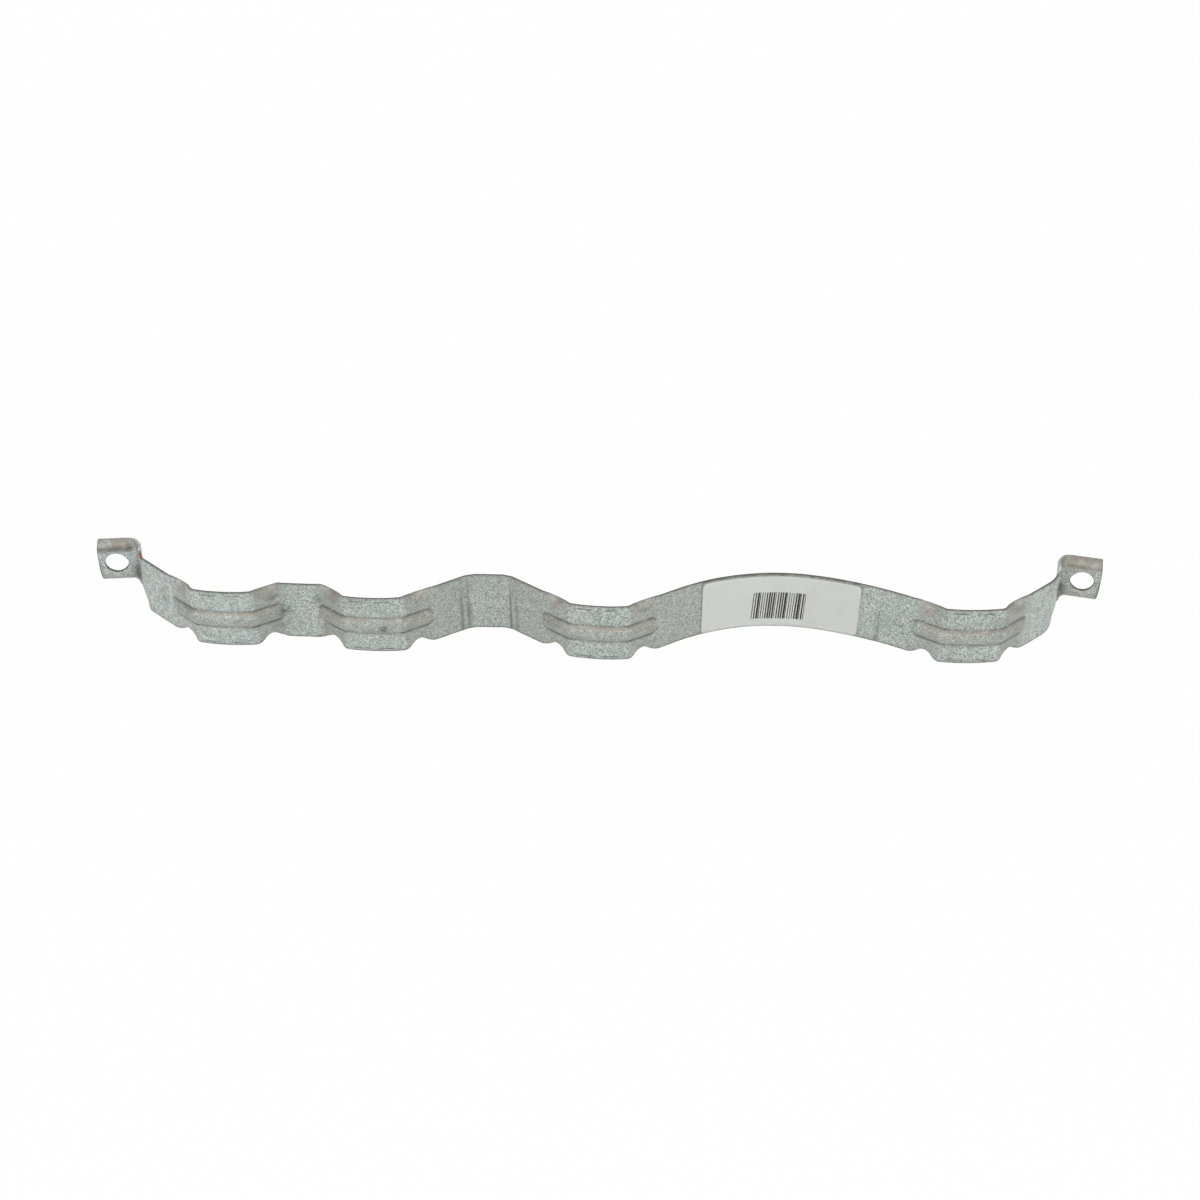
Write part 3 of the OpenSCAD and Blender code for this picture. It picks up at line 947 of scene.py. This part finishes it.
def worn_and_shaded_colour(t, place, colour, marks, wear):
    """The zinc's colour with what the press, handling and the weather have left on it, and with painted shade
    and shadow.
    """
    grime_and_shade, formed_and_shade, sheared, rust = marks
    flank_shade_share, smudge_and_shadow, _, around = wear
    brown = t.noise(place, BROWN, 3.0)
    dots = t.noise(place, DOTS, 0.0)
    # painted shade on the flanks, and a darker tone on the straps
    flank_shade_part = t.sums("MULTIPLY", flank_shade_share, t.between(brown, 0.25, 0.7, 0.35, 0.62))
    colour = t.mix(flank_shade_part, colour, SHADED_FLANK_ZINC)
    # brown tint of drawn metal, partly painted shade on surfaces that face up
    formed_and_shade_part = t.sums("MULTIPLY", formed_and_shade, t.between(brown, 0.28, 0.6, 0.4, 1.0))
    colour = t.mix(formed_and_shade_part, colour, FORMED_AND_SHADED_ZINC)
    # smudges, and a painted shadow on the left ear's lip
    dirt = t.sums("MULTIPLY", smudge_and_shadow, t.between(dots, 0.44, 0.56, 0.25, 1.0), True)
    colour = t.mix(dirt, colour, SMUDGE_AND_SHADOW_COLOUR)
    # dirt together with painted shade at the ribs' feet, in the ears' bends and folds and along the edges
    grime_and_shade_part = t.sums("MULTIPLY", grime_and_shade, t.between(brown, 0.25, 0.6, 0.55, 0.95))
    colour = t.mix(grime_and_shade_part, colour, GRIME_AND_SHADE)
    # painted shadow beside the label's ends
    colour = t.mix(t.sums("MULTIPLY", around, 0.5), colour, LABEL_END_SHADOW)
    colour = t.mix(t.between(sheared, 0.15, 0.9, 0.0, 0.9), colour, SHEARED_EDGE)
    rusty = t.between(t.sums("MULTIPLY", rust, t.sums("ADD", brown, 0.5)), 0.3, 0.75, 0.0, 0.85)
    return t.mix(rusty, colour, RUST)


def fine_bump(t, shader, strength, distance, height):
    """A fine relief of the surface, made from a height."""
    bump = t.node("ShaderNodeBump")
    bump.inputs["Strength"].default_value = strength
    bump.inputs["Distance"].default_value = distance
    t.put(bump.inputs["Height"], height)
    t.links.new(bump.outputs[0], shader.inputs["Normal"])


def galvanised_steel():
    material, t, shader = new_material("galvanised_steel")
    place = t.node("ShaderNodeTexCoord").outputs["Object"]
    marks, wear = channels(t, "marks"), channels(t, "wear")
    grime_and_shade, _, sheared, _ = marks
    grain, patches = fine_grain(t, place, 1400.0, 75.0)
    cell = t.node("ShaderNodeSeparateColor")
    t.links.new(spangle(t, place, "F1")["Color"], cell.inputs[0])
    colour = zinc_colour(t, place, grain, patches, cell.outputs[0], wear[2])
    t.put(shader.inputs["Base Color"], worn_and_shaded_colour(t, place, colour, marks, wear))

    rough = t.between(grain, 0.3, 0.7, 0.42, 0.58)
    rough = t.sums("ADD", rough, t.sums("MULTIPLY", sheared, 0.2), True)
    t.put(shader.inputs["Roughness"], rough)
    metal = t.sums("SUBTRACT", 0.45, t.sums("MULTIPLY", grime_and_shade, 0.3), True)
    t.put(shader.inputs["Metallic"], metal)
    height = t.sums("ADD", grain, t.sums("MULTIPLY", cell.outputs[1], 0.25))
    fine_bump(t, shader, 0.3, 0.00008, height)
    return material


# The printed bars: their step and narrowest and widest share of it, and their field's corners and slant
BAR_STEP = 1.0
BAR_SHARES = (0.28, 0.92)
BARS_U = (22.6, 46.3)
BARS_Z = (5.0, 21.0)
BAR_SLANT = 0.045

# Colours of the label
PAPER_DARK, PAPER_LIGHT = srgb(206, 208, 204), srgb(214, 216, 213)
PAPER_PATCH = srgb(202, 202, 198)
PAPER_RIM = srgb(120, 118, 108)
INK = srgb(14, 13, 17)


def printed_bars(t, along, up):
    """1 on a bar: each step of the field starts with a bar of a random width, which spells nothing."""
    widths = t.node("ShaderNodeTexWhiteNoise", noise_dimensions="1D")
    step = t.sums("DIVIDE", along, BAR_STEP)
    t.put(widths.inputs["W"], t.sums("FLOOR", step))
    bar_width = t.between(widths.outputs["Value"], 0.0, 1.0, *BAR_SHARES)
    bar = t.sums("LESS_THAN", t.sums("FRACT", step), bar_width)
    inside = t.sums("GREATER_THAN", along, BARS_U[0])
    inside = t.sums("MULTIPLY", inside, t.sums("LESS_THAN", along, BARS_U[1]))
    inside = t.sums("MULTIPLY", inside, t.sums("GREATER_THAN", up, BARS_Z[0]))
    inside = t.sums("MULTIPLY", inside, t.sums("LESS_THAN", up, BARS_Z[1]))
    return t.sums("MULTIPLY", bar, inside)


def label_paper():
    material, t, shader = new_material("label_paper")
    place = t.node("ShaderNodeTexCoord").outputs["Object"]
    print_u, print_z, inward, _ = channels(t, "print_place")
    up = t.sums("MULTIPLY", print_z, PRINT_SPAN)
    slant = t.sums("MULTIPLY", t.sums("SUBTRACT", up, BARS_Z[0]), BAR_SLANT)
    along = t.sums("SUBTRACT", t.sums("MULTIPLY", print_u, PRINT_SPAN), slant)
    grain, patches = fine_grain(t, place, 2600.0, 90.0)
    colour = t.mix(t.between(grain, 0.35, 0.65), PAPER_DARK, PAPER_LIGHT)
    colour = t.mix(t.between(patches, 0.45, 0.75, 0.0, 0.5), colour, PAPER_PATCH)
    ink = t.sums("MULTIPLY", printed_bars(t, along, up), t.between(grain, 0.2, 0.5, 0.85, 1.0))
    colour = t.mix(ink, colour, INK)
    colour = t.mix(t.between(inward, 0.0, 0.12, 0.45, 0.0), colour, PAPER_RIM)
    t.put(shader.inputs["Base Color"], colour)
    t.put(shader.inputs["Roughness"], t.between(grain, 0.2, 0.8, 0.45, 0.6))
    shader.inputs["Specular IOR Level"].default_value = 0.4
    fine_bump(t, shader, 0.15, 0.00004, t.sums("ADD", grain, patches))
    return material


steel = galvanised_steel()
paper = label_paper()
band.data.materials.append(steel)
label.data.materials.append(paper)
for node, material in (("band", steel), ("label", paper)):
    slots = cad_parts[node].data.materials
    slots.clear()
    slots.append(material)


# Camera, floor and light

CAMERA_AT = (-0.939, -664.149, 655.343)
CAMERA_PITCH = 44
CAMERA_YAW = -0.1852
LENS_MM = 62.4
SENSOR_MM = 36

camera_data = bpy.data.cameras.new("camera")
camera_data.lens = LENS_MM
camera_data.sensor_width = SENSOR_MM
camera_data.clip_start = 0.01
camera_data.clip_end = 20
camera = bpy.data.objects.new("camera", camera_data)
camera.location = [v * MM for v in CAMERA_AT]
camera.rotation_euler = (math.radians(90 - CAMERA_PITCH), 0, math.radians(CAMERA_YAW))
bpy.context.scene.collection.objects.link(camera)
bpy.context.scene.camera = camera


def seen_directly(t):
    """1 for rays that show the background: the camera's, and those mirrored or let through."""
    path = t.node("ShaderNodeLightPath")
    seen = t.sums("MAXIMUM", path.outputs["Is Camera Ray"], path.outputs["Is Glossy Ray"])
    return t.sums("MAXIMUM", seen, path.outputs["Is Transmission Ray"])


# How much of the floor's look is plain white, which leaves the rest for the shadow
GLOW_SHARE = 0.98


def pale_floor():
    """A floor that shows white and still takes a faint shadow."""
    material = bpy.data.materials.new("pale_floor")
    material.use_nodes = True
    t = Tree(material.node_tree)
    t.nodes.clear()
    matt = t.node("ShaderNodeBsdfDiffuse")
    matt.inputs["Color"].default_value = (0.9, 0.9, 0.9, 1)
    glow = t.node("ShaderNodeEmission")
    glow.inputs["Color"].default_value = (1, 1, 1, 1)
    glow.inputs["Strength"].default_value = 1.0
    blend = t.node("ShaderNodeMixShader")
    share = t.sums("MULTIPLY", seen_directly(t), GLOW_SHARE)
    t.links.new(share, blend.inputs[0])
    t.links.new(matt.outputs[0], blend.inputs[1])
    t.links.new(glow.outputs[0], blend.inputs[2])
    out = t.node("ShaderNodeOutputMaterial")
    t.links.new(blend.outputs[0], out.inputs[0])
    return material


FLOOR_HALF = 4.0
floor = object_from(
    "floor",
    np.array([(-1, -1, 0), (1, -1, 0), (1, 1, 0), (-1, 1, 0)]) * FLOOR_HALF / MM,
    [(0, 1, 2, 3)],
)
floor.data.materials.append(pale_floor())


def studio_world():
    """Soft light from all round, paler low down, and a white background."""
    world = bpy.data.worlds.new("studio")
    world.use_nodes = True
    t = Tree(world.node_tree)
    t.nodes.clear()
    place = t.node("ShaderNodeTexCoord").outputs["Generated"]
    split = t.node("ShaderNodeSeparateXYZ")
    t.links.new(place, split.inputs[0])
    dome = t.mix(t.between(split.outputs[2], 0.15, 0.95), (0.95, 0.97, 0.98, 1), (0.5, 0.47, 0.44, 1))
    lit = t.node("ShaderNodeBackground")
    t.links.new(dome, lit.inputs[0])
    lit.inputs[1].default_value = 0.8
    shown = t.node("ShaderNodeBackground")
    shown.inputs[0].default_value = (1, 1, 1, 1)
    shown.inputs[1].default_value = 1.0
    blend = t.node("ShaderNodeMixShader")
    t.links.new(seen_directly(t), blend.inputs[0])
    t.links.new(lit.outputs[0], blend.inputs[1])
    t.links.new(shown.outputs[0], blend.inputs[2])
    out = t.node("ShaderNodeOutputWorld")
    t.links.new(blend.outputs[0], out.inputs[0])
    bpy.context.scene.world = world


studio_world()


def soft_lamp(name, at, size, watts):
    """A square lamp that faces the object."""
    data = bpy.data.lights.new(name, "AREA")
    data.shape = "SQUARE"
    data.size = size
    data.energy = watts
    lamp = bpy.data.objects.new(name, data)
    lamp.location = at
    direction = -np.array(at) / np.linalg.norm(at)
    lamp.rotation_mode = "XYZ"
    lamp.rotation_euler = (
        math.acos(-direction[2]), 0, math.atan2(-direction[0], direction[1])
    )
    bpy.context.scene.collection.objects.link(lamp)


soft_lamp("front_lamp", (-0.5, -1.4, 0.9), 1.2, 9)
soft_lamp("side_lamp", (1.2, -0.7, 0.8), 0.9, 4)
soft_lamp("back_lamp", (-0.3, 1.5, 0.8), 1.2, 7)

bpy.context.scene.view_settings.view_transform = "Standard"
